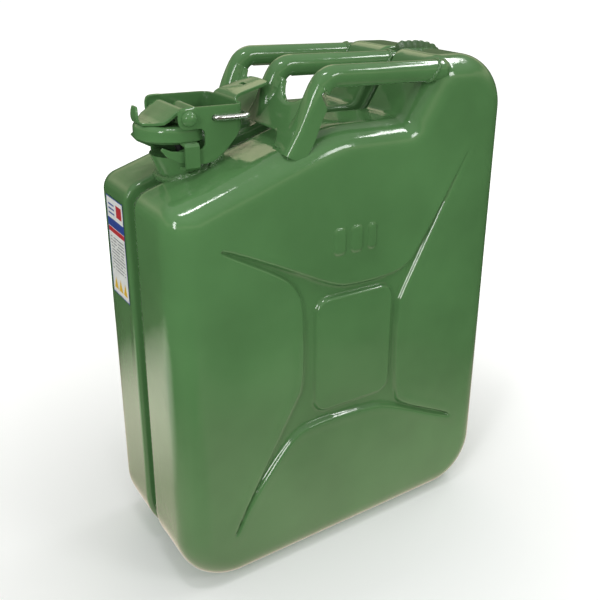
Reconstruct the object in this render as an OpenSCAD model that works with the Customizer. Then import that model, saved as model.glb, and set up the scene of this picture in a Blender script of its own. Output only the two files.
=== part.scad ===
// 20 litre pressed-steel jerry can with a cam-lever cap.
// Millimetres. +Z up, X along the length with the spout at -X, Y across the thickness.
// Origin: centre of the footprint, on the ground plane.

/* [Body] */
// Overall length of the can along X
body_l = 345; // [325:1:365]
// Overall thickness of the can along Y
body_t = 165; // [160:1:172]
// Overall height of the can
body_h = 470; // [466:1:474]
// Rounding of the two bottom corners seen from the side
bottom_r = 55; // [40:1:60]
// Rounding of the rear top corner seen from the side
rear_r = 50; // [35:1:54]
// Rounding between each big face and the narrow sides
face_r = 24; // [16:1:26]
// Sheet steel thickness of the shells
sheet = 1.5; // [1.2:0.1:1.8]
// Height of the recess floor under the carrying handles
recess_z = 416; // [413:1:418]
// Height at which the front side turns into the sloping shoulder
shoulder_z = 362; // [361:1:363]

/* [Seam] */
// Half width of the channel between the two shells
channel_w = 9; // [8:0.5:10]
// Depth of the channel between the two shells
channel_d = 9; // [8:0.5:10]
// Half width of the welded rim that stands in the channel
rim_w = 1.5; // [1:0.1:2]
// Height of the welded rim above the channel floor
rim_h = 4; // [2:0.5:6]

/* [Pressed cross] */
// Width of the raised centre panel on each big face
panel_w = 81; // [70:1:86]
// Height of the raised centre panel on each big face
panel_h = 110; // [100:1:116]
// Height of the middle of the centre panel above the ground
panel_z = 209; // [205:1:213]
// Width of the groove round the centre panel
groove_w = 13; // [10:1:14]
// Depth of the pressed grooves
groove_d = 3; // [2:0.5:4]

/* [Neck and cap] */
// Outside radius of the filler neck
neck_r = 25.5; // [25:0.1:26]
// Clear radius of the filler neck
bore_r = 22.5; // [22:0.1:23]
// Outside radius of the cap skirt
cap_r = 31; // [30.5:0.1:31.3]
// Height of the top of the cap skirt above the ground
cap_top_z = 418.5; // [418.3:0.1:418.7]
// Thickness of the rubber gasket under the cap
gasket_t = 3; // [2.8:0.1:3]

/* [Lever] */
// Outer half width of the lever across its two arms
lever_hw = 34.8; // [34.6:0.1:35]
// Thickness of the lever plate
lever_t = 2.4; // [2.2:0.1:2.5]
// Radius of the pivot pin through the saddle and the lever
pivot_r = 2.5; // [2.3:0.1:2.6]
// Radial running clearance of every pin in its hole
pin_gap = 0.08; // [0.05:0.01:0.1]
// Radius of the safety pin wire
wire_r = 2; // [1.8:0.1:2.1]

/* [Handles] */
// Radius of the three carrying tubes
tube_r = 9.5; // [8.5:0.5:10]
// Distance between the middle tube and each outer tube
tube_pitch = 71; // [64:1:71]
// Height of the tube axes above the ground
tube_z = 458; // [456:0.5:459]
// Sheet thickness of the tubes and of the front plate
tube_t = 1.6; // [1.4:0.1:2]

/* [View] */
// Node to draw, or all of them

/* [Hidden] */
$fn = 64;
half_l = body_l / 2;
half_t = body_t / 2;
hump_r = 16;
hump_foot_r = 8;
crest_r = 120;
shoulder_r = 18;
shoulder_deg = 19.6;
crest_x = -half_l + (recess_z - shoulder_z) / tan(shoulder_deg);
hump_foot_x = 57;
hump_top_x = 90;
foot_half = atan2(body_h - recess_z, hump_top_x - hump_foot_x) / 2;
// Side outline corners: x, z, rounding. The order runs anticlockwise from bottom front.
corners = [
    [-half_l, 0, bottom_r],
    [half_l, 0, bottom_r],
    [half_l, body_h, rear_r],
    [hump_top_x, body_h, hump_r],
    [hump_foot_x, recess_z, -hump_foot_r],
    [crest_x, recess_z, crest_r],
    [-half_l, shoulder_z, shoulder_r]
];
// Extra radius of the long rounding cuts, so that they cross the flat faces cleanly.
cut_play = 0.06;
// Facets along each rounded corner of the side outline.
arc_steps = [12, 12, 12, 5, 4, 6, 6];
neck_x = -120;
neck_z = shoulder_z + (neck_x + half_l) * tan(shoulder_deg);
neck_h = 22;
mouth_x = -132;
mouth_z = cap_top_z - 6.5;
mouth_r = 27;
skirt_z = cap_top_z - 11.5;
skirt_in = cap_r - 1.5;
cap_sheet = 1.5;
notch_hw = 20;
pivot_x = -132;
pivot_z = 426;
hinge_x = -92.5;
hinge_z = 416.5;
hinge_r = 2;
knuckle_r = 4.2;
saddle_t = 2;
saddle_hw = 26;
arch_r = pivot_r + saddle_t + 0.1;
lever_in = lever_hw - lever_t;
lever_back_x = -83;
arm_top_z = 434.5;
boss_r = 8.5;
wire_x = -110;
wire_z = 425;
wire_side_y = -lever_hw - wire_r - 0.2;
wire_end_x = lever_back_x + wire_r + 0.3;
plate_deg = 28.6;
bend_r = 16;
bend_x = -20;
tube_l = 118;
leg_top = [bend_x - bend_r * sin(90 - plate_deg), tube_z - bend_r + bend_r * cos(90 - plate_deg)];
plate_l = 66;
notch_v = 60;
notch_w = 100;
foot_hw = 76;
opening_v = 9;
plate_foot_z = 402;
plate_foot_x = leg_top[0] + (plate_foot_z - leg_top[1]) * tan(plate_deg);
breather_y = 14;
breather_r = 4;
breather_z = 366;
breather_x = 112;

function unit(v) = v / norm(v);
function ring(i) = (i + len(corners)) % len(corners);
function pt(i) = [corners[ring(i)][0], corners[ring(i)][1]];
function inward(i) = let(u = unit(pt(i + 1) - pt(i))) [-u[1], u[0]];
function cross2(a, b) = a[0] * b[1] - a[1] * b[0];
// Corner i of the outline after every side has moved inwards by d.
function inset_pt(i, d) = let(
    a = inward(i - 1),
    b = inward(i)
) pt(i) + d * (a + b) / (1 + a * b);
function inset_r(i, d) = corners[ring(i)][2] > 0
    ? max(corners[ring(i)][2] - d, 1)
    : -corners[ring(i)][2] + d;

// Points of the rounding arc at corner i, after moving inwards by d.
function arc_pts(i, d) = let(
    p = inset_pt(i, d),
    a = unit(inset_pt(ring(i - 1), d) - p),
    b = unit(inset_pt(ring(i + 1), d) - p),
    r = inset_r(i, d),
    half = acos(a * b) / 2,
    c = p + unit(a + b) * r / sin(half),
    u = p + a * r / tan(half) - c,
    v = p + b * r / tan(half) - c,
    turn = 180 - 2 * half,
    way = sign(cross2(u, v)),
    n = arc_steps[i]
) [for (k = [0 : n]) let(t = way * turn * k / n) c + [
    u[0] * cos(t) - u[1] * sin(t),
    u[0] * sin(t) + u[1] * cos(t)
]];

// Side outline of the can moved inwards by d.
module outline(d) {
    polygon([for (i = [0 : len(corners) - 1]) each arc_pts(i, d)]);
}

module slab(y0, y1) {
    translate([0, y1, 0])
        rotate([90, 0, 0])
            linear_extrude(y1 - y0) children();
}

module rounded_rect(w, h, r) {
    translate([-w / 2 + r, -h / 2]) square([w - 2 * r, h]);
    translate([-w / 2, -h / 2 + r]) square([w, h - 2 * r]);
    for (x = [-1, 1])
        for (z = [-1, 1])
            translate([x * (w / 2 - r), z * (h / 2 - r)]) circle(r);
}

// Long rounding cut along the big-face edge that runs from p to q in the side view.
module edge_cut(p, q, side, d, before, after, rise, lap) {
    r = face_r - d;
    y = half_t - d;
    len_pq = norm(q - p);
    ang = atan2(q[1] - p[1], q[0] - p[0]);
    translate([p[0], 0, p[1]])
        rotate([0, -ang, 0])
            translate([-before, 0, 0])
                difference() {
                    translate([0, side > 0 ? y - r - lap : -y - 1 - lap, -r])
                        cube([len_pq + before + after, r + 1 + 2 * lap, r + rise]);
                    translate([-1, side * (y - r), -r])
                        rotate([0, 90, 0])
                            cylinder(r = r + cut_play, h = len_pq + before + after + 2);
                }
}

// Solid side body between the side outlines, inset by d, with rounded big-face edges.
module body_block(d) {
    intersection() {
        slab(-half_t + d, half_t - d) outline(d);
        translate([0, 0, d])
            linear_extrude(body_h)
                rounded_rect(body_l - 2 * d, body_t - 2 * d, face_r - d);
        translate([-half_l, 0, body_h / 2])
            rotate([90, 0, 90])
                linear_extrude(body_l)
                    rounded_rect(body_t - 2 * d, body_h - 2 * d, face_r - d);
    }
}

// Rounds the big-face edges of the shoulder, of the recess floor and of the hump front.
module upper_cuts(d) {
    for (side = [-1, 1]) {
        intersection() {
            edge_cut(inset_pt(6, d), inset_pt(5, d), side, d, 30, 30, 20, 0);
            translate([-half_l - 1, -half_t - 2, shoulder_z - 40])
                cube([half_l + crest_x + 10, body_t + 4, 120]);
        }
        intersection() {
            edge_cut(inset_pt(5, d), inset_pt(4, d), side, d, 8, 60, 80, 0);
            edge_cut(inset_pt(4, d), inset_pt(3, d), side, d, 140, 30, 190, 2);
        }
    }
}

module groove_plan(grow) {
    difference() {
        union() {
            translate([0, panel_z])
                rounded_rect(panel_w + 2 * (groove_w + grow), panel_h + 2 * (groove_w + grow), 18 + grow);
            arm_plan([-36, panel_z + 62], [-126, panel_z + 119], 12 + grow, 4 + grow);
            arm_plan([36, panel_z + 58], [121, panel_z + 168], 12 + grow, 4 + grow);
            arm_plan([-38, panel_z - 58], [-122, panel_z - 154], 12 + grow, 4 + grow);
            arm_plan([38, panel_z - 60], [122, panel_z - 116], 12 + grow, 4 + grow);
        }
        translate([0, panel_z])
            rounded_rect(panel_w - 2 * grow, panel_h - 2 * grow, 12);
    }
}

// Tapered arm of the cross with a blunt tip.
module arm_plan(p, q, wide, narrow) {
    u = unit(q - p);
    n = [-u[1], u[0]];
    polygon([
        p - n * wide,
        q - n * narrow,
        q + (u - n) * narrow * 0.7,
        q + u * narrow,
        q + (u + n) * narrow * 0.7,
        q + n * narrow,
        p + n * wide
    ]);
}

// Outside surface of the two shells as one solid, channel included, cross left out.
module plain_solid() {
    difference() {
        body_block(0);
        upper_cuts(0);
        difference() {
            slab(-channel_w, channel_w) square([body_l + 60, 3 * body_h], center = true);
            slab(-channel_w - 1, channel_w + 1) outline(channel_d);
        }
    }
}

module outer_solid() {
    difference() {
        plain_solid();
        slab(half_t - groove_d, half_t + 1) groove_plan(0);
        slab(-half_t - 1, -half_t + groove_d) groove_plan(0);
    }
}

module inner_solid() {
    difference() {
        body_block(sheet);
        upper_cuts(sheet);
        difference() {
            slab(-channel_w - sheet, channel_w + sheet)
                square([body_l + 60, 3 * body_h], center = true);
            slab(-channel_w - sheet - 1, channel_w + sheet + 1) outline(channel_d + sheet);
        }
        slab(half_t - groove_d - sheet, half_t + 1) groove_plan(sheet);
        slab(-half_t - 1, -half_t + groove_d + sheet) groove_plan(sheet);
    }
}

module on_neck() {
    translate([neck_x, 0, neck_z])
        rotate([0, -shoulder_deg, 0]) children();
}

module half_shell(side) {
    color("#4c7a4c") difference() {
        outer_solid();
        inner_solid();
        on_neck() translate([0, 0, -30]) cylinder(r = bore_r, h = 60);
        translate([-body_l, side > 0 ? -2 * body_t : 0, -1])
            cube([2 * body_l, 2 * body_t, 2 * body_h]);
    }
}

module near_half() {
    half_shell(-1);
}

module far_half() {
    half_shell(1);
}

module seam_rim() {
    color("#2f5534") difference() {
        slab(-rim_w, rim_w) outline(channel_d - rim_h);
        slab(-rim_w - 1, rim_w + 1) outline(channel_d);
        on_neck() translate([0, 0, -30]) cylinder(r = neck_r, h = 60);
        on_neck() bead_ring(neck_r + 0.1, 4, 4);
        tube_solid(0);
    }
}

module bead_ring(r, w, h) {
    translate([0, 0, -h])
        cylinder(r = r + w, h = 2 * h);
}

module neck() {
    color("#4c7a4c") difference() {
        union() {
            on_neck() translate([0, 0, -12]) cylinder(r = neck_r, h = neck_h + 12);
            translate([mouth_x, 0, mouth_z - 8]) cylinder(r = neck_r + 0.2, h = 8);
            translate([mouth_x, 0, mouth_z - 4]) cylinder(r = mouth_r, h = 4);
        }
        on_neck() translate([0, 0, -40]) cylinder(r = bore_r, h = neck_h + 34);
        translate([mouth_x, 0, mouth_z - 20]) cylinder(r = bore_r, h = 40);
        translate([mouth_x - 60, -60, mouth_z]) cube([120, 120, 40]);
        plain_solid();
    }
}

module neck_weld() {
    color("#4c7a4c") difference() {
        on_neck() rotate_extrude() translate([neck_r, 0]) circle(3.2, $fn = 24);
        on_neck() translate([0, 0, -20]) cylinder(r = neck_r, h = 40);
        plain_solid();
    }
}

strap_in = lever_hw + 0.7;
strap_t = 2.2;
strap_out = strap_in + strap_t;
strap_path = [
    [12, 404.6],
    [28, 404.5],
    [strap_in - 0.9, 404],
    [strap_in, 403],
    [strap_in, 387.5],
    [12, 384.5],
    [12, 382.2],
    [strap_in, 384.8],
    [strap_out, 387],
    [strap_out, 404],
    [strap_in, 406.2],
    [31.5, 406.5],
    [28, 406.6],
    [12, 406.6]
];

// Staple-shaped strap on the side of the neck that the lever claw hooks under.
module strap(side) {
    color("#4c7a4c") difference() {
        translate([-131, 0, 0])
            rotate([90, 0, 90])
                translate([0, 0, -6])
                    linear_extrude(12)
                        polygon([for (p = strap_path) [side * p[0], p[1]]]);
        on_neck() translate([0, 0, -20]) cylinder(r = neck_r, h = 60);
        translate([mouth_x, 0, 380]) cylinder(r = neck_r + 0.2, h = 40);
        translate([mouth_x, 0, mouth_z - 4]) cylinder(r = mouth_r, h = 4);
        on_neck() rotate_extrude() translate([neck_r, 0]) circle(3.2, $fn = 24);
        plain_solid();
    }
}

module near_strap() {
    strap(-1);
}

module far_strap() {
    strap(1);
}

module ear_plan() {
    difference() {
        union() {
            polygon([
                [-112, 388],
                [-112, 400],
                [-103.5, 403.5],
                [-97.5, 405.5],
                [-96.8, 417],
                [-88.2, 417],
                [-88.2, 409],
                [-97, 394]
            ]);
            translate([hinge_x, hinge_z]) circle(4.3);
        }
        translate([hinge_x, hinge_z]) circle(hinge_r);
    }
}

module hinge_bracket() {
    color("#4c7a4c") difference() {
        union() {
            for (y = [-11, 8.6]) slab(y, y + 2.4) ear_plan();
            slab(-9, 9) polygon([[-108, 396], [-108, 400], [-97, 404], [-95.5, 400.5], [-99, 396]]);
        }
        on_neck() translate([0, 0, -20]) cylinder(r = neck_r, h = 60);
        translate([mouth_x, 0, 380]) cylinder(r = neck_r + 0.2, h = 40);
        on_neck() rotate_extrude() translate([neck_r, 0]) circle(3.2, $fn = 24);
        plain_solid();
    }
}

module along_y(r, y0, y1) {
    translate([0, y1, 0])
        rotate([90, 0, 0]) cylinder(r = r, h = y1 - y0);
}

module hinge_pin() {
    color("#b9bdbc") translate([hinge_x, 0, hinge_z]) {
        along_y(hinge_r, -11, 11);
        along_y(3.2, -12.6, -11);
        along_y(3.2, 11, 12.6);
    }
}

module cap() {
    color("#4c7a4c") difference() {
        union() {
            translate([mouth_x, 0, skirt_z]) cylinder(r = cap_r, h = cap_top_z - skirt_z - 3);
            translate([mouth_x, 0, cap_top_z - 3])
                rotate_extrude() {
                    square([cap_r - 3, 3]);
                    intersection() {
                        translate([cap_r - 3, 0]) circle(3);
                        square([cap_r, 3]);
                    }
                }
        }
        translate([mouth_x, 0, skirt_z - 1])
            cylinder(r = skirt_in, h = cap_top_z - skirt_z - cap_sheet + 1);
        translate([mouth_x, 0, 400]) cylinder(r = 3, h = 40);
        // Notch at the rear that lets the skirt swing past the neck.
        translate([mouth_x, -notch_hw, skirt_z - 1]) cube([60, 2 * notch_hw, cap_top_z - 6 - skirt_z]);
    }
}

module gasket() {
    color("#26282a") translate([mouth_x, 0, mouth_z])
        difference() {
            cylinder(r = 28.6, h = gasket_t);
            translate([0, 0, -1]) cylinder(r = 20.5, h = gasket_t + 2);
        }
}

module retainer_disc() {
    color("#8d9290") translate([mouth_x, 0, 0])
        difference() {
            union() {
                translate([0, 0, mouth_z + gasket_t])
                    cylinder(r = 28, h = cap_top_z - cap_sheet - mouth_z - gasket_t);
                translate([0, 0, mouth_z + 1]) cylinder(r = 20.5, h = gasket_t - 1);
            }
            translate([0, 0, 400]) cylinder(r = 3, h = 40);
        }
}

module centre_rivet() {
    color("#8d9290") translate([mouth_x, 0, 0]) {
        translate([0, 0, mouth_z - 1]) cylinder(r = 6, h = 2);
        translate([0, 0, mouth_z]) cylinder(r = 3, h = cap_top_z - mouth_z + 0.6);
    }
}

// Side view of the saddle strip: foot, arch over the pivot pin, tail to the rear hinge.
module saddle_plan() {
    z0 = cap_top_z;
    difference() {
        union() {
            translate([-158, z0]) square([66, saddle_t]);
            translate([-157, z0]) square([saddle_t, 12]);
            translate([pivot_x, pivot_z]) circle(arch_r);
            translate([pivot_x - arch_r, z0]) square([2 * arch_r, pivot_z - z0]);
            translate([pivot_x - arch_r - 5, z0]) square([2 * arch_r + 10, 5]);
            translate([hinge_x, hinge_z]) circle(knuckle_r);
        }
        translate([pivot_x, pivot_z]) circle(pivot_r);
        translate([hinge_x, hinge_z]) circle(hinge_r + pin_gap);
        for (s = [-1, 1])
            translate([pivot_x + s * (arch_r + 5), z0 + saddle_t + 5]) circle(5);
    }
}

module saddle() {
    color("#4c7a4c") difference() {
        slab(-saddle_hw, saddle_hw) saddle_plan();
        // The tail narrows to the width between the two bracket ears.
        for (s = [-1, 1])
            translate([-119, s > 0 ? 8.3 : -68.3, 400]) cube([60, 60, 60]);
        // The foot at the front narrows to a tab.
        for (s = [-1, 1])
            translate([-180, s > 0 ? 10 : -70, cap_top_z + saddle_t]) cube([35, 60, 30]);
        translate([mouth_x, 0, 400]) difference() {
            cylinder(r = 80, h = 50);
            translate([0, 0, -1]) cylinder(r = cap_r - 3, h = 52);
            translate([0, -8.3, -1]) cube([60, 16.6, 52]);
        }
        // Space between the pin supports.
        translate([pivot_x - 20, -13, cap_top_z + saddle_t]) cube([40, 26, 30]);
        translate([mouth_x, 0, 400]) cylinder(r = 3, h = 19.1);
    }
}

module pivot_pin() {
    color("#4c7a4c") translate([pivot_x, 0, pivot_z]) {
        along_y(pivot_r, -lever_hw - 0.2, lever_hw + 0.2);
        for (s = [-1, 1])
            translate([0, s * (lever_hw + 0.2), 0])
                rotate([s * -90, 0, 0])
                    intersection() {
                        translate([0, 0, -3.4]) sphere(r = 6.2);
                        cylinder(r = 10, h = 10);
                    }
    }
}

// Plan of one lever arm seen from the side: boss, back, slot and claw.
module arm_side() {
    difference() {
        union() {
            translate([pivot_x, pivot_z]) circle(boss_r);
            polygon([
                [pivot_x, pivot_z + boss_r],
                [lever_back_x - 4, arm_top_z],
                [lever_back_x, arm_top_z - 4],
                [lever_back_x, 419],
                [-92, 405],
                [-105, 394],
                [-113, 389.5],
                [-121, 388.4],
                [-140, 391.2],
                [-150.5, 396.8],
                [-155, 402.6],
                [-153.4, 404.2],
                [-146.3, 400.9],
                [-137.5, 399.9],
                [-131, 400.6],
                [-122, 400.7],
                [-118.5, 404],
                [-118.5, 415],
                [-121, pivot_z - boss_r],
                [pivot_x, pivot_z - boss_r]
            ]);
        }
        translate([pivot_x, pivot_z]) circle(pivot_r + pin_gap);
        translate([wire_x, wire_z]) circle(wire_r + pin_gap);
        translate([-127, pivot_z - boss_r - 1.6]) circle(1.5);
    }
}

module lever_plan() {
    difference() {
        intersection() {
            rounded_rect(200, 2 * lever_hw, 8);
            translate([-200, -50]) square([300, 100]);
        }
        rounded_rect(200 - 2 * lever_t, 2 * lever_in, 8 - lever_t);
    }
}

module lever() {
    color("#4c7a4c") union() {
        intersection() {
            translate([lever_back_x - 100, 0, 380]) linear_extrude(60) lever_plan();
            slab(-40, 40) arm_side();
        }
        difference() {
            translate([lever_back_x - 3.5, 0, arm_top_z - 4.2])
                rotate([0, -16, 0])
                    linear_extrude(2.2)
                        intersection() {
                            translate([8, 0]) rounded_rect(40, 36, 6);
                            translate([1, -30]) square([60, 60]);
                        }
            translate([-70, -2, 420]) cube([3, 8, 30]);
        }
    }
}

module safety_pin() {
    color("#c9cdcc") {
        translate([wire_x, 0, wire_z]) along_y(wire_r, wire_side_y, lever_hw + 3);
        translate([wire_x, wire_side_y, wire_z]) sphere(wire_r);
        translate([wire_x, wire_side_y, wire_z])
            rotate([0, 90, 0]) cylinder(r = wire_r, h = wire_end_x - wire_x);
        translate([wire_end_x, wire_side_y, wire_z]) sphere(wire_r);
        translate([wire_end_x, 0, wire_z]) along_y(wire_r, wire_side_y, 22);
        translate([wire_end_x, 22, wire_z]) sphere(wire_r);
    }
}

// One carrying tube as a plain solid, from its foot on the plate to the hump.
module tube_path(r) {
    translate([bend_x, 0, tube_z])
        rotate([0, 90, 0]) cylinder(r = r, h = tube_l);
    translate([bend_x, 0, tube_z - bend_r])
        rotate([90, 0, 0])
            rotate([0, 0, 90])
                rotate_extrude(angle = 90 - plate_deg) translate([bend_r, 0]) circle(r);
}

module tube_solid(y) {
    translate([0, y, 0]) tube_path(tube_r);
}

module handle(y) {
    color("#4c7a4c") difference() {
        tube_solid(y);
        translate([0, y, 0]) tube_path(tube_r - tube_t);
        // Gap left where the edges of the rolled sheet meet underneath.
        translate([bend_x + 2, y - 2, tube_z - tube_r - 1]) cube([140, 4, 4]);
        if (y == 0) {
            for (t = [-1, 1])
                slab(t > 0 ? channel_w : -30, t > 0 ? 30 : -channel_w) hump_front();
            slab(-30, 30) translate([channel_d / sin(2 * foot_half), 0]) hump_front();
        }
        if (y != 0) plain_solid();
    }
}

module hump_front() {
    polygon([
        [hump_foot_x, recess_z],
        [hump_foot_x + 90, recess_z],
        [hump_top_x + 57, body_h],
        [hump_top_x, body_h]
    ]);
}

module near_handle() {
    handle(-tube_pitch);
}

module middle_handle() {
    handle(0);
}

module far_handle() {
    handle(tube_pitch);
}

// Front plate lying in the plane of the tube legs.
module on_plate() {
    translate([leg_top[0], 0, leg_top[1]])
        rotate([0, plate_deg, 0])
            rotate([90, 0, 90]) children();
}

// Plan of the side flange along the near or far edge of the plate.
flange_top = tube_pitch + tube_r - (tube_pitch + tube_r - foot_hw) * 14 / plate_l;
flange_set = 0.2;
flange_edge = [
    [foot_hw - flange_set - tube_t, -plate_l],
    [foot_hw - flange_set, -plate_l],
    [flange_top - flange_set, -14],
    [flange_top - flange_set - tube_t, -14]
];

module handle_plate() {
    w = tube_pitch + tube_r;
    color("#4c7a4c") difference() {
        union() {
            on_plate() translate([0, 0, -tube_t / 2])
                linear_extrude(tube_t)
                    difference() {
                        polygon([[-foot_hw, -plate_l], [foot_hw, -plate_l], [w, 0], [w, 2], [-w, 2], [-w, 0]]);
                        for (s = [-1, 1])
                            translate([s * tube_pitch / 2, opening_v]) circle(tube_pitch / 2 - tube_r);
                        translate([0, -notch_v]) rounded_rect(notch_w, 30, 8);
                    }
            for (s = [-1, 1])
                on_plate() linear_extrude(13)
                    polygon([for (p = flange_edge) [s * p[0], p[1]]]);
        }
        for (y = [-tube_pitch, 0, tube_pitch]) tube_solid(y);
        plain_solid();
    }
}

module plate_weld() {
    w = tube_pitch + tube_r;
    color("#4c7a4c") difference() {
        for (s = [-1, 1])
            translate([plate_foot_x - 1.6, 0, plate_foot_z - 0.6])
                along_y(2.6, s > 0 ? 51 : -62, s > 0 ? 62 : -51);
        // Everything behind the front face of the plate.
        on_plate() translate([-w, -plate_l - 5, -tube_t / 2]) cube([2 * w, 40, 30]);
        plain_solid();
    }
}

module handle_welds() {
    color("#4c7a4c") difference() {
        intersection() {
            for (y = [-tube_pitch, 0, tube_pitch])
                translate([70, y, tube_z]) rotate([0, 90, 0]) cylinder(r = tube_r + 1.8, h = 32);
            slab(-half_t + 0.5, half_t - 0.5) translate([-2.6, 0]) hump_front();
        }
        plain_solid();
        slab(-20, 20) hump_front();
        for (y = [-tube_pitch, 0, tube_pitch])
            translate([60, y, tube_z]) rotate([0, 90, 0]) cylinder(r = tube_r, h = 60);
    }
}

module breather_tube() {
    rise = 34;
    foot_x = -110.6;
    color("#6f7573") difference() {
        union() breather_path(breather_r, foot_x, rise, 0);
        breather_path(breather_r - 1, foot_x, rise, 2);
    }
}

module breather_path(r, foot_x, rise, extra) {
    translate([foot_x, breather_y, breather_z]) {
        rotate([0, -shoulder_deg, 0]) cylinder(r = r, h = rise + extra);
        sphere(r);
        rotate([0, 90, 0]) cylinder(r = r, h = breather_x - foot_x);
    }
    translate([breather_x, breather_y, breather_z]) {
        sphere(r);
        cylinder(r = r, h = 84 + extra);
    }
}

module label() {
    color("#f2f3f1") translate([-half_l - 0.3, 16, 256]) cube([0.3, 40, 92]);
}

near_half();
far_half();
seam_rim();
neck();
neck_weld();
near_strap();
far_strap();
hinge_bracket();
hinge_pin();
cap();
gasket();
retainer_disc();
centre_rivet();
saddle();
pivot_pin();
lever();
safety_pin();
handle_plate();
near_handle();
middle_handle();
far_handle();
plate_weld();
handle_welds();
breather_tube();
label();
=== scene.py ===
import math

import bpy
import numpy as np
from mathutils import Matrix, Vector, geometry, noise


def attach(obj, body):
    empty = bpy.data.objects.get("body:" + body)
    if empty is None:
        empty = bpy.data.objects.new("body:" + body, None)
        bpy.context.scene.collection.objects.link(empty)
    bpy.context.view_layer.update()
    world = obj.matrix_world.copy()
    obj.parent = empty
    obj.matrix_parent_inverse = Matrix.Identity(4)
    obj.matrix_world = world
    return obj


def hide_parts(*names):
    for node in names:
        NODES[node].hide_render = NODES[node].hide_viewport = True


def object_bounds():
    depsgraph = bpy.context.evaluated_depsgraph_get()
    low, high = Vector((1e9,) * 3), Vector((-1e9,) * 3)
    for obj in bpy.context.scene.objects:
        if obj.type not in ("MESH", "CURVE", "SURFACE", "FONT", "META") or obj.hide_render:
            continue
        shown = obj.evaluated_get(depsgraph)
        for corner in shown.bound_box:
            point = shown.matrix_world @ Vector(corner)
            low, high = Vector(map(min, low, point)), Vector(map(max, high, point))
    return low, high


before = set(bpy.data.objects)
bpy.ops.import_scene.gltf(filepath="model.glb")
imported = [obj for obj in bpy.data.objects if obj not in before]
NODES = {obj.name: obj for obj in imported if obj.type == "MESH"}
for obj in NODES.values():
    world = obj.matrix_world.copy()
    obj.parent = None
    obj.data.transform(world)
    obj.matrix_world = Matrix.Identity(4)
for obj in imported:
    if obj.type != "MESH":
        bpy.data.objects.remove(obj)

# A 20 litre pressed-steel fuel can. X runs from the filler (-X) to the rear hump (+X), Y across the can, with
# the near big face at -Y, and Z up from the ground. Sizes are in millimetres; MM turns them into metres.
CAD_LO, CAD_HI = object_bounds()
MM = 0.001

# ---------------------------------------------------------------- sizes of the body
HALF_L, HALF_T, HEIGHT = (round(c / MM, 1) for c in CAD_HI)
SHOULDER_Z, RECESS_Z = 362, 416
FACE_R = 24.0
# (x, z, rounding) of the side outline, from the front foot by the rear; a negative rounding is hollow
CORNERS = [(-HALF_L, 0, 55), (HALF_L, 0, 55), (HALF_L, HEIGHT, 50), (90, HEIGHT, 16),
           (57, RECESS_Z, -8), (-20.85, RECESS_Z, 120), (-HALF_L, SHOULDER_Z, 18)]
ARC_STEPS = [28, 28, 26, 12, 10, 14, 12]
CORNER_COUNT = len(CORNERS)
HUMP_CORNER = 3          # index of the corner where the rear hump starts to fall to the recess
STEP = 4.0               # mesh spacing along the straight stretches
UNIT_Y = np.array([0, 1.0, 0])

# ---------------------------------------------------------------- sizes of neck, closure and handles
SHOULDER = math.radians(19.6)
NECK_O = np.array([-120.0, 0.0, 380.695])
NECK_AX = np.array([-math.sin(SHOULDER), 0.0, math.cos(SHOULDER)])
NECK_AL = np.array([math.cos(SHOULDER), 0.0, math.sin(SHOULDER)])
NECK_R = 25.5
NECK_REACH = 20.0        # how far from the shoulder, along its axis, the neck cuts shell and rim
MOUTH_X = -132.0
PIVOT = (-132.0, 426.0)
HINGE = (-92.5, 416.5)
TUBE_R = 9.5
TUBE_Y = (-71.0, 0.0, 71.0)
LEG_TOP = np.array([-34.05, 0.0, 449.66])
LEG_LEAN = 28.6          # degrees from upright, of the front plate and the tubes' legs
PLATE_UP = np.array([math.sin(math.radians(LEG_LEAN)), 0.0, math.cos(math.radians(LEG_LEAN))])
PLATE_FWD = np.array([-math.cos(math.radians(LEG_LEAN)), 0.0, math.sin(math.radians(LEG_LEAN))])
BEND_X, TUBE_Z, BEND_R = -20.0, 458.0, 16.0
TUBE_FALL = math.tan(math.radians(0.2))


def smooth(t):
    t = np.clip(t, 0.0, 1.0)
    return t * t * (3 - 2 * t)


def wave(points, scale, seed=0.0):
    """Smooth noise, about -1 to 1, for each point; scale is the feature size in mm."""
    return np.array([noise.noise((x / scale + seed, y / scale - seed, z / scale)) for x, y, z in points])


# ---------------------------------------------------------------- materials
def new_mat(name):
    m = bpy.data.materials.new(name)
    m.use_nodes = True
    nt = m.node_tree
    return m, nt, nt.nodes["Principled BSDF"]


def plug(nt, socket, value):
    """Gives an input a link, if value is another node's output, or else a value."""
    if isinstance(value, bpy.types.NodeSocket):
        nt.links.new(value, socket)
    else:
        socket.default_value = value


def feed(nt, n, **values):
    """Sets a node's inputs by name, with an underscore for a space, or else its properties."""
    for key, value in values.items():
        name = key.replace("_", " ")
        if name in n.inputs:
            plug(nt, n.inputs[name], value)
        else:
            setattr(n, key, value)
    return n


def node(nt, kind, *sources, **values):
    """New shader node; sources go to its first inputs in order."""
    n = feed(nt, nt.nodes.new(kind), **values)
    for socket, source in zip(n.inputs, sources):
        plug(nt, socket, source)
    return n


def ramp(nt, src, stops):
    """Colour driven by src, from (position, colour) stops."""
    r = node(nt, "ShaderNodeValToRGB", src)
    e = r.color_ramp.elements
    while len(e) < len(stops):
        e.new(0.5)
    for el, (pos, col) in zip(e, stops):
        el.position = pos
        el.color = (*col, 1)
    return r.outputs["Color"]


def noise_tex(nt, coord, scale, detail=2.0, rough=0.5, distort=0.0):
    n = node(nt, "ShaderNodeTexNoise", Vector=coord, Scale=scale, Detail=detail, Roughness=rough,
             Distortion=distort)
    return n.outputs["Fac"]


def bump(nt, height, strength, distance, **normal):
    b = node(nt, "ShaderNodeBump", Height=height, Strength=strength, Distance=distance, **normal)
    return b.outputs["Normal"]


def object_coord(nt):
    return node(nt, "ShaderNodeTexCoord").outputs["Object"]


def grey(value):
    return (value, value, value)


def shade(colour, factor):
    return tuple(c * factor for c in colour)


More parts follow.
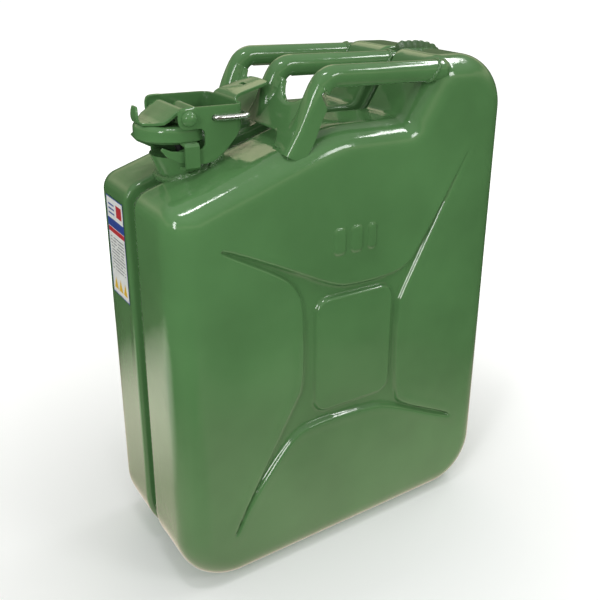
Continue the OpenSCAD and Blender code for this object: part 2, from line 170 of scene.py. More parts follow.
def enamel(name, base, lumps=0.0, rough=0.07):
    """Glossy enamel over pressed sheet, dusty where it looks up; lumps is the height of weld spatter."""
    m, nt, bsdf = new_mat(name)
    co = object_coord(nt)
    light = tuple(min(1.0, c * 1.13 + 0.002) for c in base)
    tint = ramp(nt, noise_tex(nt, co, 9.0, 3.0), [(0.3, shade(base, 0.86)), (0.7, light)])
    dust = ramp(nt, noise_tex(nt, co, 60.0, 6.0, 0.7), [(0.52, grey(0)), (0.8, grey(0.16))])
    normal = node(nt, "ShaderNodeNewGeometry").outputs["Normal"]
    upward = node(nt, "ShaderNodeSeparateXYZ", normal).outputs["Z"]
    up = node(nt, "ShaderNodeMapRange", Value=upward, From_Min=0.35, From_Max=1.0).outputs["Result"]
    lying = node(nt, "ShaderNodeMath", dust, up, operation="MULTIPLY").outputs[0]
    mix = node(nt, "ShaderNodeMix", data_type="RGBA", Factor=lying, A=tint, B=(0.30, 0.31, 0.25, 1))
    relief = bump(nt, noise_tex(nt, co, 34.0, 2.0), 0.5, 0.0006)
    relief = bump(nt, noise_tex(nt, co, 520.0, 2.0), 0.22, 0.00012, Normal=relief)
    if lumps:
        relief = bump(nt, noise_tex(nt, co, 260.0, 4.0, 0.6, 0.4), 0.8, lumps, Normal=relief)
    scuff = noise_tex(nt, co, 150.0, 5.0, 0.65, 0.8)
    worn = ramp(nt, scuff, [(0.45, grey(rough)), (0.85, grey(rough + 0.16))])
    feed(nt, bsdf, Base_Color=mix.outputs["Result"], Normal=relief, Roughness=worn, Specular_IOR_Level=0.6)
    return m


def mottled(name, stops, tint_noise, relief_noise, strength, height):
    """Material with a mottled colour and a fine relief; also returns its tree, shader and mottling."""
    m, nt, bsdf = new_mat(name)
    co = object_coord(nt)
    mottle = noise_tex(nt, co, *tint_noise)
    relief = bump(nt, noise_tex(nt, co, *relief_noise), strength, height)
    feed(nt, bsdf, Base_Color=ramp(nt, mottle, stops), Normal=relief)
    return m, nt, bsdf, mottle


def metal(name, base, rough):
    """Bright zinc plating with fine drawing marks and a faint cloudy passivation."""
    stops = [(0.3, shade(base, 0.8)), (0.7, base)]
    m, nt, bsdf, cloud = mottled(name, stops, (70.0, 4.0, 0.6), (900.0, 3.0, 0.7, 1.5), 0.25, 0.00008)
    worn = ramp(nt, cloud, [(0.3, grey(rough)), (0.75, grey(rough + 0.18))])
    feed(nt, bsdf, Roughness=worn, Metallic=1.0)
    return m


def rubber():
    """Matt black rubber with a fine grain."""
    stops = [(0.35, (0.012, 0.012, 0.013)), (0.75, (0.035, 0.034, 0.033))]
    grain = (600.0, 4.0, 0.7)
    m, nt, bsdf, _ = mottled("nitrile_rubber", stops, grain, grain, 0.4, 0.0002)
    feed(nt, bsdf, Roughness=0.62)
    return m


def vinyl(name, base):
    """Printed adhesive film, slightly wrinkled."""
    stops = [(0.3, shade(base, 0.9)), (0.7, base)]
    m, nt, bsdf, _ = mottled(name, stops, (200.0, 3.0, 0.6), (45.0, 2.0), 0.3, 0.0004)
    feed(nt, bsdf, Roughness=0.28)
    return m


GREEN = (0.078, 0.190, 0.066)
PAINT = enamel("green_enamel", GREEN)
PAINT_WELD = enamel("green_enamel_over_weld", shade(GREEN, 0.92), lumps=0.0018, rough=0.09)
# enamel for the welded rim: the green darkened to 0.6 is painted shade of the seam channel
PAINT_SEAM_SHADE = enamel("green_enamel_painted_seam_shade", shade(GREEN, 0.6), lumps=0.0003, rough=0.3)
ZINC = metal("bright_zinc", (0.78, 0.79, 0.80), 0.2)
STEEL = metal("dull_zinc", (0.45, 0.46, 0.46), 0.38)
RUBBER = rubber()
WHITE = vinyl("label_white", (0.82, 0.83, 0.80))
BLUE = vinyl("label_blue", (0.03, 0.07, 0.32))
RED = vinyl("label_red", (0.55, 0.03, 0.04))
GREY = vinyl("label_grey", (0.18, 0.19, 0.21))
YELLOW = vinyl("label_yellow", (0.80, 0.52, 0.03))


# ---------------------------------------------------------------- mesh helpers
def piece(name, verts, faces, body, mats, replaces=(), indices=None):
    """A smooth-shaded mesh that rides on a body and stands for CAD nodes."""
    me = bpy.data.meshes.new(name)
    me.from_pydata([(float(v[0]) * MM, float(v[1]) * MM, float(v[2]) * MM) for v in verts], [], faces)
    me.update()
    for p in me.polygons:
        p.use_smooth = True
    for m in mats if isinstance(mats, (list, tuple)) else [mats]:
        me.materials.append(m)
    if indices is not None:
        me.polygons.foreach_set("material_index", indices)
    ob = bpy.data.objects.new(name, me)
    bpy.context.scene.collection.objects.link(ob)
    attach(ob, body)
    if replaces:
        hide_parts(*replaces)
    return ob


def crease(ob, deg):
    """Marks edges sharper than deg as sharp."""
    me = ob.data
    normals = {}
    for p in me.polygons:
        for k in p.edge_keys:
            normals.setdefault(k, []).append(p.normal)
    lim = math.cos(math.radians(deg))
    sharp = me.attributes.get("sharp_edge") or me.attributes.new("sharp_edge", "BOOLEAN", "EDGE")
    vals = [False] * len(me.edges)
    for i, e in enumerate(me.edges):
        n = normals.get(tuple(sorted(e.vertices)), [])
        if len(n) == 2 and n[0].dot(n[1]) < lim:
            vals[i] = True
    sharp.data.foreach_set("value", vals)


def bevelled(ob, width, segments=3, limit=35):
    b = ob.modifiers.new("edge", "BEVEL")
    b.width = width * MM
    b.segments = segments
    b.limit_method = "ANGLE"
    b.angle_limit = math.radians(limit)


def thicken(ob, thick, offset=-1.0, bevel=0.0):
    """Gives a surface the thickness of sheet; offset 0 puts the surface in its middle."""
    s = ob.modifiers.new("sheet", "SOLIDIFY")
    s.thickness = thick * MM
    s.offset = offset
    s.use_even_offset = False
    if bevel:
        bevelled(ob, bevel, 2, 50)


def grid_faces(nu, nv, close_u=False, close_v=False, flip=False):
    out = []
    for i in range(nu if close_u else nu - 1):
        for j in range(nv if close_v else nv - 1):
            a = i * nv + j
            b = ((i + 1) % nu) * nv + j
            c = ((i + 1) % nu) * nv + (j + 1) % nv
            d = i * nv + (j + 1) % nv
            out.append((a, d, c, b) if flip else (a, b, c, d))
    return out


def frames(path, closed):
    """Tangent, side and up vectors along a path with as little twist as possible."""
    p = np.asarray(path, float)
    n = len(p)
    tan = np.zeros_like(p)
    for i in range(n):
        a = p[(i - 1) % n] if (closed or i > 0) else p[i]
        b = p[(i + 1) % n] if (closed or i < n - 1) else p[i]
        tan[i] = (b - a) / max(np.linalg.norm(b - a), 1e-9)
    ref = UNIT_Y if abs(tan[0][1]) < 0.9 else np.array([0, 0, 1.0])
    side = []
    s = ref - tan[0] * (ref @ tan[0])
    for i in range(n):
        s = s - tan[i] * (s @ tan[i])
        s = s / np.linalg.norm(s)
        side.append(s)
    side = np.array(side)
    return p, tan, side, np.cross(tan, side)


def sweep(path, radius, seg=16, closed=False):
    """Round section swept along a path, with domed ends. radius may be a function of path index and angle."""
    p, tan, side, up = frames(path, closed)
    n = len(p)
    size = radius if callable(radius) else lambda i, t: radius
    verts = []
    for i in range(n):
        for j in range(seg):
            t = 2 * math.pi * j / seg
            verts.append(p[i] + size(i, t) * (math.cos(t) * up[i] + math.sin(t) * side[i]))
    faces = grid_faces(n, seg, close_u=closed, close_v=True)
    for end, i in () if closed else ((-1, 0), (1, n - 1)):
        out = end * tan[i] * size(i, 0.0)
        rows = [i * seg]
        for a in (0.25 * math.pi, 0.425 * math.pi):
            rows.append(len(verts))
            for j in range(seg):
                verts.append(p[i] + (verts[i * seg + j] - p[i]) * math.cos(a) + out * math.sin(a))
        tip = len(verts)
        verts.append(p[i] + out)
        for j in range(seg):
            k = (j + 1) % seg
            quads = [(a + j, a + k, b + k, b + j) for a, b in zip(rows[:-1], rows[1:])]
            quads.append((rows[-1] + j, rows[-1] + k, tip))
            faces += [q if end > 0 else q[::-1] for q in quads]
    return np.array(verts), faces


def lathe(profile, centre, axis="Z", seg=96):
    """Profile of (radius, height) pairs turned about a vertical or a Y axis."""
    verts = []
    for i in range(seg):
        a = 2 * math.pi * i / seg
        for r, h in profile:
            if axis == "Z":
                verts.append((centre[0] + r * math.cos(a), centre[1] + r * math.sin(a), centre[2] + h))
            else:
                verts.append((centre[0] + r * math.sin(a), centre[1] + h, centre[2] + r * math.cos(a)))
    return np.array(verts), grid_faces(seg, len(profile), close_u=True)


def rounding(p, corner, q, steps=6):
    """Curve from p to q that bends towards a corner."""
    return [(1 - t) ** 2 * p + 2 * t * (1 - t) * corner + t * t * q for t in np.linspace(0, 1, steps + 1)]


def round_path(pts, radius, steps):
    """Polyline with every inner corner rounded."""
    pts = [np.asarray(p, float) for p in pts]
    out = [pts[0]]
    for a, b, c in zip(pts[:-2], pts[1:-1], pts[2:]):
        u, v = a - b, c - b
        k = min(radius, np.linalg.norm(u) * 0.45, np.linalg.norm(v) * 0.45)
        out += rounding(b + u / np.linalg.norm(u) * k, b, b + v / np.linalg.norm(v) * k, steps)
    out.append(pts[-1])
    return out


def resample(pts, step):
    """Points no further apart than step along a polyline."""
    out = [np.asarray(pts[0], float)]
    for a, b in zip(pts[:-1], pts[1:]):
        a, b = np.asarray(a, float), np.asarray(b, float)
        n = max(1, int(math.ceil(np.linalg.norm(b - a) / step)))
        out += [a + (b - a) * k / n for k in range(1, n + 1)]
    return out


def chaikin(pts, times):
    """Closed loop with its corners cut, again and again, towards a smooth curve."""
    p = np.asarray(pts, float)
    for _ in range(times):
        q = np.roll(p, -1, axis=0)
        p = np.stack([0.75 * p + 0.25 * q, 0.25 * p + 0.75 * q], axis=1).reshape(-1, 2)
    return p


def signed_inside(points, poly):
    """Distance to a closed polygon, positive inside."""
    a = np.asarray(poly, float)
    b = np.roll(a, -1, axis=0)
    best = np.full(len(points), 1e9)
    odd = np.zeros(len(points), bool)
    x, y = points[:, 0], points[:, 1]
    for (ax, ay), (bx, by) in zip(a, b):
        dx, dy = bx - ax, by - ay
        t = np.clip(((x - ax) * dx + (y - ay) * dy) / (dx * dx + dy * dy + 1e-12), 0, 1)
        best = np.minimum(best, np.hypot(x - ax - t * dx, y - ay - t * dy))
        cross = (ay > y) != (by > y)
        with np.errstate(divide="ignore", invalid="ignore"):
            odd ^= cross & (x < dx * (y - ay) / (dy if dy else 1e-12) + ax)
    return np.where(odd, best, -best)


def rounded_box(points, x0, x1, z0, z1, r):
    """Distance outside a rounded rectangle, negative inside."""
    qx = np.abs(points[:, 0] - (x0 + x1) / 2) - (x1 - x0) / 2 + r
    qz = np.abs(points[:, 1] - (z0 + z1) / 2) - (z1 - z0) / 2 + r
    return np.hypot(np.maximum(qx, 0), np.maximum(qz, 0)) + np.minimum(np.maximum(qx, qz), 0) - r


ROW_GAP = 0.866          # height of an even triangle over its side


def lattice(lo, hi, step):
    """Even triangular lattice of points over a rectangle."""
    rows = int((hi[1] - lo[1]) / (step * ROW_GAP)) + 1
    cols = int((hi[0] - lo[0]) / step) + 2
    return np.array([(lo[0] + (c + 0.5 * (r % 2)) * step, lo[1] + r * step * ROW_GAP)
                     for r in range(rows) for c in range(cols)])


def away_from(points, others, gap, chunk=400):
    """Which points lie further than gap from all the others."""
    keep = np.ones(len(points), bool)
    for e in range(0, len(others), chunk):
        part = others[None, e:e + chunk]
        d = np.hypot(points[:, None, 0] - part[..., 0], points[:, None, 1] - part[..., 1])
        keep &= d.min(1) > gap
    return keep


def fill(loops, step, extra=()):
    """Dense triangles inside closed 2-D loops; the first is the outside, the others are holes. The points of
    extra are kept. Returns points, faces and each point's index in the concatenated loops, or -1."""
    pts, edges = [], []
    for loop in loops:
        k = len(pts)
        pts += [tuple(p) for p in loop]
        edges += [(k + i, k + (i + 1) % len(loop)) for i in range(len(loop))]
    on_loops = len(pts)
    inner = lattice(np.min(loops[0], axis=0), np.max(loops[0], axis=0), step)
    if len(extra):
        extra = np.asarray(extra, float)
        inner = np.vstack([extra, inner[away_from(inner, extra, step * 0.6)]])
    dist = signed_inside(inner, loops[0])
    for hole in loops[1:]:
        dist = np.minimum(dist, -signed_inside(inner, hole))
    ok = dist > 0.55 * step
    ok[:len(extra)] = dist[:len(extra)] > 0.04
    pts += [tuple(p) for p in inner[ok]]
    out = geometry.delaunay_2d_cdt([Vector(p) for p in pts], edges, [], 1, 1e-5)
    v = np.array([(p.x, p.y) for p in out[0]])
    orig = [min(o) if len(o) and min(o) < on_loops else -1 for o in out[3]]
    faces = [tuple(f) for f in out[2]]
    centres = np.array([v[list(f)].mean(0) for f in faces])
    in_hole = np.zeros(len(faces), bool)
    for hole in loops[1:]:
        in_hole |= signed_inside(centres, hole) > 0
    return v, [f for f, gone in zip(faces, in_hole) if not gone], orig


# ---------------------------------------------------------------- the two pressed half shells
def corner_xz(i):
    return np.array(CORNERS[i % CORNER_COUNT][:2], float)


# mesh steps on the straight stretch after each corner
STRAIGHT = [max(2, int(np.linalg.norm(corner_xz(i + 1) - corner_xz(i)) / STEP)) for i in range(CORNER_COUNT)]


def inset_corner(i, d):
    """Corner i of the side outline moved inwards by d."""
    a, b, c = corner_xz(i - 1), corner_xz(i), corner_xz(i + 1)
    u, v = (b - a) / np.linalg.norm(b - a), (c - b) / np.linalg.norm(c - b)
    n1, n2 = np.array([-u[1], u[0]]), np.array([-v[1], v[0]])
    return b + d * (n1 + n2) / (1 + n1 @ n2)


def corner_arc(i, d, least=14.0):
    """Points of the rounding at corner i, moved inwards by d; a full rounding shrinks to least at most."""
    r0 = CORNERS[i][2]
    r = max(r0 - d, min(r0, least)) if r0 > 0 else -r0 + d
    p = inset_corner(i, d)
    a, b = inset_corner(i - 1, d) - p, inset_corner(i + 1, d) - p
    a, b = a / np.linalg.norm(a), b / np.linalg.norm(b)
    half = math.acos(float(a @ b)) / 2
    c = p + (a + b) / np.linalg.norm(a + b) * r / math.sin(half)
    u = p + a * r / math.tan(half) - c
    v = p + b * r / math.tan(half) - c
    turn = (math.pi - 2 * half) * np.sign(u[0] * v[1] - u[1] * v[0])
    angles = [turn * k / ARC_STEPS[i] for k in range(ARC_STEPS[i] + 1)]
    return [c + np.array([u[0] * math.cos(t) - u[1] * math.sin(t), u[0] * math.sin(t) + u[1] * math.cos(t)])
            for t in angles]


def outline(d):
    """Side outline of the can moved inwards by d, always with the same number of points."""
    arcs = [corner_arc(i, d) for i in range(CORNER_COUNT)]
    pts = []
    for i, n in enumerate(STRAIGHT):
        a, b = arcs[i][-1], arcs[(i + 1) % CORNER_COUNT][0]
        pts += arcs[i] + [a + (b - a) * k / n for k in range(1, n)]
    return np.array(pts)


# the pressed cross: control points of its outline, clockwise from the tip of the front upper arm
CROSS = chaikin([(-128, 332), (-67, 302), (-22, 278), (0, 275), (40, 276), (58, 282), (70, 295), (122, 378),
                 (127, 387), (128, 384), (56, 252), (51, 237), (53, 142), (64, 129), (120, 101), (130, 95),
                 (129, 88), (45, 132), (20, 138), (-48, 142), (-69, 130), (-109, 79), (-121, 53), (-126, 50),
                 (-127, 56), (-64, 170), (-55, 187), (-56, 267), (-64, 283), (-77, 296), (-128, 325),
                 (-132, 329)], 2)
PANEL = (-40, 41, 154, 264, 12)                  # x0, x1, z0, z1, rounding of the raised panel in its middle
PADS = [(-25.0, 12.0), (-7.0, 12.0), (11.0, 9.0)]    # x and width of the three raised pads
PAD_Z = (306, 330)
PRESS_DEEP, PAD_HIGH = 4.4, 1.5
PRESS_WALL, PAD_WALL = 3.6, 0.9                  # width of the cross's wall, half the width of a pad's wall


def pressing(x, z, mirrored):
    """How far the big face is pressed in at x, z, in mm. Raised pads are negative."""
    p = np.stack([x, z], axis=1)
    inside = signed_inside(p, CROSS)
    off_panel = rounded_box(p, *PANEL)
    depth = PRESS_DEEP * smooth(inside / PRESS_WALL) * smooth(off_panel / PRESS_WALL)
    depth -= 0.5 * smooth(-off_panel / 20.0)
    q = np.stack([-x if mirrored else x, z], axis=1)
    for cx, w in PADS:
        d = rounded_box(q, cx, cx + w, *PAD_Z, 4.5)
        depth -= PAD_HIGH * smooth((PAD_WALL - d) / (2 * PAD_WALL))
    lip = np.exp(-((inside + 3.5) / 4.0) ** 2) * (off_panel > 6)
    depth -= 0.35 * lip
    depth += 0.45 * wave(np.stack([x, z * 0 + (7 if mirrored else 0), z], axis=1), 95.0, 3.1)
    return depth


# section of a half shell: (distance from the middle plane, distance inwards from the side outline)
PROFILE = [(0.0, 9.2), (1.6, 9.2), (4.5, 9.2), (6.6, 9.05), (7.9, 8.5), (8.6, 7.4), (8.9, 6.0), (9.0, 4.4),
           (9.15, 3.0), (9.6, 1.7), (10.5, 0.7), (11.8, 0.12)]
PROFILE += [(y, 0.0) for y in (13.5, 16, 19, 22, 25, 28, 31, 35, 40, 46, 52)]
PROFILE += [(HALF_T - FACE_R + FACE_R * math.sin(a), FACE_R - FACE_R * math.cos(a))
            for a in np.linspace(0, math.pi / 2, 13)]


def neck_radius(v):
    """Distance of points from the neck's axis, and height along it."""
    d = v - NECK_O
    h = d @ NECK_AX
    return np.linalg.norm(d - np.outer(h, NECK_AX), axis=1), h


def open_for_neck(verts, faces, r):
    """Moves points near the neck wall onto it and drops the faces inside."""
    rad, h = neck_radius(verts)
    near = (np.abs(h) < NECK_REACH) & (np.abs(rad - r) < 1.7)
    axis_pt = NECK_O + np.outer(h, NECK_AX)
    verts[near] = (axis_pt + (verts - axis_pt) * (r / np.maximum(rad, 1e-6))[:, None])[near]
    rad, h = neck_radius(verts)
    gone = (np.abs(h) < NECK_REACH) & (rad < r + 0.05)
    return verts, [f for f in faces if not all(gone[i] for i in f)]


def offset_points(poly, d, step):
    """Points that lie d inside a closed polygon (outside for negative d)."""
    p = np.array(resample(list(poly) + [poly[0]], step)[:-1])
    t = np.roll(p, -1, axis=0) - np.roll(p, 1, axis=0)
    n = np.stack([-t[:, 1], t[:, 0]], axis=1) / np.maximum(np.linalg.norm(t, axis=1), 1e-9)[:, None]
    if signed_inside(p[:1] + 0.2 * n[:1], poly)[0] < 0:
        n = -n
    q = p + d * n
    return q[np.abs(signed_inside(q, poly) - d) < 0.12]


def box_loop(x0, x1, z0, z1, r):
    """Outline of a rounded rectangle."""
    out = []
    corners = ((x1 - r, z1 - r, 0), (x0 + r, z1 - r, 90), (x0 + r, z0 + r, 180), (x1 - r, z0 + r, 270))
    for cx, cz, start in corners:
        for turned in range(0, 91, 15):
            a = math.radians(start + turned)
            out.append((cx + r * math.cos(a), cz + r * math.sin(a)))
    return np.array(out)


def pressing_points(mirrored):
    """Extra mesh points that follow the edges of the pressed shapes."""
    on_wall = (0.0, 0.9, 1.8, 2.7, PRESS_WALL)
    rows = [offset_points(CROSS, d, 2.0) for d in (-1.2, *on_wall)]
    rows = [r[rounded_box(r, *PANEL) > PRESS_WALL] for r in rows]
    panel = box_loop(*PANEL)
    rows += [offset_points(panel, -d, 2.0) for d in (-1.0, *on_wall)]
    for cx, w in PADS:
        pad = box_loop(cx, cx + w, *PAD_Z, 4.4)
        rows += [offset_points(pad, d, 1.2) * (-1 if mirrored else 1, 1) for d in (-0.9, -0.3, 0.3, 0.9)]
    return np.concatenate(rows)


def shell_ring(y, d, side):
    """One ring of a half shell; the flat of the narrow sides is slightly uneven."""
    ring = outline(d)
    across = np.full(len(ring), y * side)
    if d <= 1.0 and y > 13:
        inward = outline(d + 1.0) - ring
        ring3 = np.stack([ring[:, 0], across, ring[:, 1]], axis=1)
        amount = 0.4 * smooth((y - 13) / 12)
        ring = ring + inward * (amount * (wave(ring3, 80.0, 1.7) + 0.25))[:, None]
    return np.stack([ring[:, 0], across, ring[:, 1]], axis=1)


def half_shell(name, node_name, side):
    """One pressed half of the tank: channel, narrow sides, rounding and big face with its pressed cross."""
    rings = [shell_ring(y, d, side) for y, d in PROFILE]
    n = len(rings[0])
    last_ring = (len(rings) - 1) * n
    verts = np.concatenate(rings)
    faces = grid_faces(len(rings), n, close_v=True, flip=side < 0)
    inner = verts[last_ring:, [0, 2]].copy()
    face_xz, face_tris, orig = fill([inner], 2.6, pressing_points(side > 0))
    depth = pressing(face_xz[:, 0], face_xz[:, 1], side > 0)
    depth *= smooth(signed_inside(face_xz, inner) / 8.0)
    index, extra = [], []
    for k, o in enumerate(orig):
        if o >= 0:
            index.append(last_ring + o)
        else:
            index.append(len(verts) + len(extra))
            extra.append((face_xz[k, 0], side * (HALF_T - depth[k]), face_xz[k, 1]))
    verts = np.concatenate([verts, np.array(extra)])
    for f in face_tris:
        t = tuple(index[i] for i in f)
        faces.append(t if side < 0 else t[::-1])
    verts, faces = open_for_neck(verts, faces, NECK_R - 0.4)
    piece(name, verts, faces, "can", PAINT, [node_name])


half_shell("near_shell", "near_half", -1)
half_shell("far_shell", "far_half", 1)


def weld_rim():
    """Trimmed, slightly crimped welded flange that stands in the channel and rises at the rear top."""
    flat, foot = 1.6, 4.75
    section = [(-flat, 9.4), (-flat, 6.4), (-1.5, 5.2), (-1.0, foot), (0, 4.7),
               (1.0, foot), (1.5, 5.2), (flat, 6.4), (flat, 9.4)]
    base = outline(0.0)
    s = np.concatenate([[0], np.cumsum(np.linalg.norm(np.roll(base, -1, axis=0) - base, axis=1))])
    total = s[-1]
    m = int(total / 1.5)
    u = np.arange(m) * total / m

    def along(d):
        q = outline(d)
        q = np.vstack([q, q[:1]])
        return np.stack([np.interp(u, s, q[:, 0]), np.interp(u, s, q[:, 1])], axis=1)

    rough = 0.5 * np.array([noise.noise(Vector((t / 6.0, 4.2, 0))) for t in u])
    bendy = 0.35 * np.array([noise.noise(Vector((t / 30.0, 9.0, 1.0))) for t in u])
    crimp = np.sin(u * 2 * math.pi / 7.0)
    teeth = 0.45 * np.sign(crimp) * smooth(np.abs(crimp) * 3)
    x, z = along(0.0).T
    rear = smooth((x - 92) / 14) * smooth((z - 452) / 12) * smooth((160 - x) / 14)
    front = smooth((-96 - x) / 24) * smooth((60 - z) / 30)
    lift = 10.0 * rear + 3.4 * front
    cols = []
    for y, d in section:
        share = 1.0 if d < 6.0 else 0.0
        outer = along(d)
        q = outer + (along(d + 1.0) - outer) * (share * (rough + teeth - lift))[:, None]
        cols.append(np.stack([q[:, 0], y + bendy * share, q[:, 1]], axis=1))
    verts = np.stack(cols, axis=1).reshape(-1, 3)
    rad, h = neck_radius(verts)
    drop = (np.abs(h) < NECK_REACH) & (rad < NECK_R - 0.6)
    faces = [f for f in grid_faces(m, len(section), close_u=True) if not any(drop[i] for i in f)]
    # the rim takes the darkened enamel, painted shade of the seam channel
    crease(piece("welded_rim", verts, faces, "can", PAINT_SEAM_SHADE, ["seam_rim"]), 50)


weld_rim()


# ---------------------------------------------------------------- neck, weld bead, straps, hinge bracket
def on_neck(a, r, h):
    return NECK_O + NECK_AX * h + r * (math.cos(a) * NECK_AL + math.sin(a) * UNIT_Y)


def bead(name, path, radius, closed, replaces=(), seed=0.0, lump=0.28):
    """Uneven weld bead along a path; an open one thins out at its ends."""
    path = resample(list(path) + ([path[0]] if closed else []), 1.3)
    if closed:
        path = path[:-1]
    n = len(path)

    def rad(i, t):
        p = path[i]
        k = noise.noise(Vector((p[0] / 3.2 + seed, p[1] / 3.2, p[2] / 3.2 + t)))
        k2 = noise.noise(Vector((p[0] / 9 + seed, p[1] / 9, p[2] / 9)))
        fade = 1.0 if closed else min(1.0, 0.35 + 0.2 * i, 0.35 + 0.2 * (n - 1 - i))
        return radius * fade * (1 + lump * k + 0.3 * k2 + 0.07 * math.sin(i * 1.9))

    v, f = sweep(path, rad, seg=14, closed=closed)
    piece(name, v, f, "can", PAINT_WELD, replaces)


def neck_welds():
    ring = [on_neck(2 * math.pi * k / 140, NECK_R + 0.4, -0.4) for k in range(140)]
    rear = [on_neck(math.radians(a), NECK_R + 3.2, 0.6) for a in range(-75, -18, 3)]
    far = [on_neck(math.radians(a), NECK_R + 3.0, 0.5) for a in range(25, 70, 3)]
    bead("neck_weld_bead", ring, 3.3, True, ["neck_weld"], seed=2.0, lump=0.45)
    bead("neck_weld_rear_pass", rear, 2.6, False, seed=7.0, lump=0.5)
    bead("neck_weld_far_pass", far, 2.3, False, seed=11.0, lump=0.5)


def dress(mat, edge, *names):
    """Gives CAD nodes that stay visible their material and a small rounding on their edges."""
    for name in names:
        ob = NODES[name]
        ob.data.materials.clear()
        ob.data.materials.append(mat)
        bevelled(ob, edge)


neck_welds()
dress(PAINT, 0.45, "neck", "near_strap", "far_strap", "hinge_bracket")
dress(ZINC, 0.25, "hinge_pin")
dress(STEEL, 0.25, "retainer_disc", "centre_rivet", "breather_tube")
dress(RUBBER, 0.5, "gasket")


# ---------------------------------------------------------------- cap, saddle, pin, lever
def arc(cx, cz, r, a0, a1, n):
    angles = [math.radians(a0 + (a1 - a0) * k / n) for k in range(n + 1)]
    return [(cx + r * math.cos(a), cz + r * math.sin(a)) for a in angles]


def along_path(path):
    """Distance along a path at each of its points."""
    return np.concatenate([[0], np.cumsum(np.linalg.norm(np.diff(path, axis=0), axis=1))])


def soft_path(pts, radius, steps):
    return np.array(round_path([np.array(p) for p in pts], radius, steps))


def pressed_cap():
    """Cap with a rounded shoulder and a rolled edge, notched at the rear where it swings past the neck."""
    profile = [(0.01, 418.5), (8, 418.5), (16, 418.5), (22, 418.4)]
    profile += arc(26.6, 414.0, 4.4, 90, 0, 9)
    profile += [(31.0, 411.0), (31.05, 408.6), (31.3, 407.6)] + arc(30.6, 407.1, 0.7, 0, -180, 6)
    profile += [(29.6, 408.5), (29.5, 413.0), (29.4, 415.2), (28.0, 416.8), (22, 417.0), (0.01, 417.0)]
    v, f = lathe(profile, (MOUTH_X, 0, 0), seg=120)
    notch = (v[:, 0] > MOUTH_X) & (np.abs(v[:, 1]) < 20)
    v[notch, 2] = np.maximum(v[notch, 2], 412.2)
    piece("pressed_cap", v, f, "cap", PAINT, ["cap"])


def strip(name, path, widths, replaces, rows=15):
    """Sheet strip on the cap along a side-view path; widths gives (distance, low y, high y) at key points."""
    s = along_path(path)
    keys, low, high = zip(*widths)
    lo, hi = np.interp(s, keys, low), np.interp(s, keys, high)
    verts = []
    for i, (x, z) in enumerate(path):
        for j in range(rows):
            verts.append((x, lo[i] + (hi[i] - lo[i]) * (j / (rows - 1)), z))
    ob = piece(name, verts, grid_faces(len(path), rows), "cap", PAINT, replaces)
    thicken(ob, 2.0, 0.0, 0.35)


def saddle():
    """Plate on the cap: front tab, hump over the pivot pin, second hump and tail to the rear hinge."""
    path = [(-160.8, 419.6), (-153, 419.7), (-148, 421.2), (-143, 424.2), (-138.6, 428.0)]
    path += arc(*PIVOT, 4.9, 120, 30, 7)
    path += [(-126.2, 426.0), (-124.6, 424.2), (-122.8, 424.8), (-120.8, 427.4), (-118.2, 429.8),
             (-115.6, 429.6), (-114.2, 427.0), (-113.8, 423.0), (-112.4, 420.4), (-108, 419.7), (-99, 419.7)]
    path += arc(*HINGE, 3.15, 100, -120, 10)
    path = soft_path(path, 1.5, 2)
    s = along_path(path)
    half_widths = [(-157, 15.5), (-148, 24), (-138, 26), (-127, 26),
                   (-123, 22), (-115, 19.5), (-113, 15), (-109, 8)]
    widths = [(0, -11.5, 11.5)]
    widths += [(float(s[np.argmin(np.abs(path[:, 0] - x))]), -w, w) for x, w in half_widths]
    widths += [(s[-1], -8, 8)]
    strip("saddle_strap", path, widths, ["saddle"])
    tab = soft_path([(-159.6, 419.2), (-160.6, 421), (-160.9, 424), (-160.6, 428.5), (-160.2, 431.5)], 1.0, 2)
    strip("saddle_front_tab", tab, [(0, -2, 12), (6, -1.4, 11.4), (9, -0.8, 10.8), (12.6, 1, 9)], (), rows=7)


def pivot_pin():
    """Pin with two domed rivet heads, set across the cap."""
    head = [(6.25, 35.2), (6.2, 36.2), (5.6, 38.2), (4.2, 39.9), (2.2, 40.9), (0.01, 41.2)]
    near = [(r, -h) for r, h in head[::-1]]
    profile = near + [(2.5, -35.0), (2.5, 0), (2.5, 35.0)] + head
    v, f = lathe(profile, (PIVOT[0], 0, PIVOT[1]), axis="Y", seg=48)
    piece("riveted_pivot_pin", v, f, "cap", PAINT, ["pivot_pin"])


# the lever is one strip folded into a U: flat back wall, two bends, two arms
LEVER_Y = 33.6
LEVER_CORNER = 8.0
LEVER_BACK = -84.2
U_FLAT = LEVER_Y - LEVER_CORNER
U_BEND = U_FLAT + LEVER_CORNER * math.pi / 2
LEVER_TOP = 434.6


def lever_map(u, z):
    """From distance along the folded strip, zero at the middle of the back wall, to x, y, z."""
    side, a = (-1.0 if u < 0 else 1.0), abs(u)
    if a < U_FLAT:
        return LEVER_BACK, side * a, z
    if a < U_BEND:
        t = (a - U_FLAT) / LEVER_CORNER
        across = U_FLAT + LEVER_CORNER * math.sin(t)
        return LEVER_BACK - LEVER_CORNER * (1 - math.cos(t)), side * across, z
    return LEVER_BACK - LEVER_CORNER - (a - U_BEND), side * LEVER_Y, z


def arm_u(x):
    return U_BEND + (LEVER_BACK - LEVER_CORNER) - x


def rounded_loop(pts, step=1.6):
    """Closed loop from (x, z, rounding radius) corners."""
    out = []
    n = len(pts)
    for i in range(n):
        a, b, c = (np.array(pts[(i + k) % n][:2], float) for k in (-1, 0, 1))
        r = pts[i][2]
        if r <= 0:
            out.append(b)
            continue
        u, v = (a - b) / np.linalg.norm(a - b), (c - b) / np.linalg.norm(c - b)
        half = math.acos(max(-1, min(1, float(u @ v)))) / 2
        t = min(r / math.tan(half), np.linalg.norm(a - b) * 0.49, np.linalg.norm(c - b) * 0.49)
        out += rounding(b + u * t, b, b + v * t)
    return np.array(resample(out + [out[0]], step)[:-1])


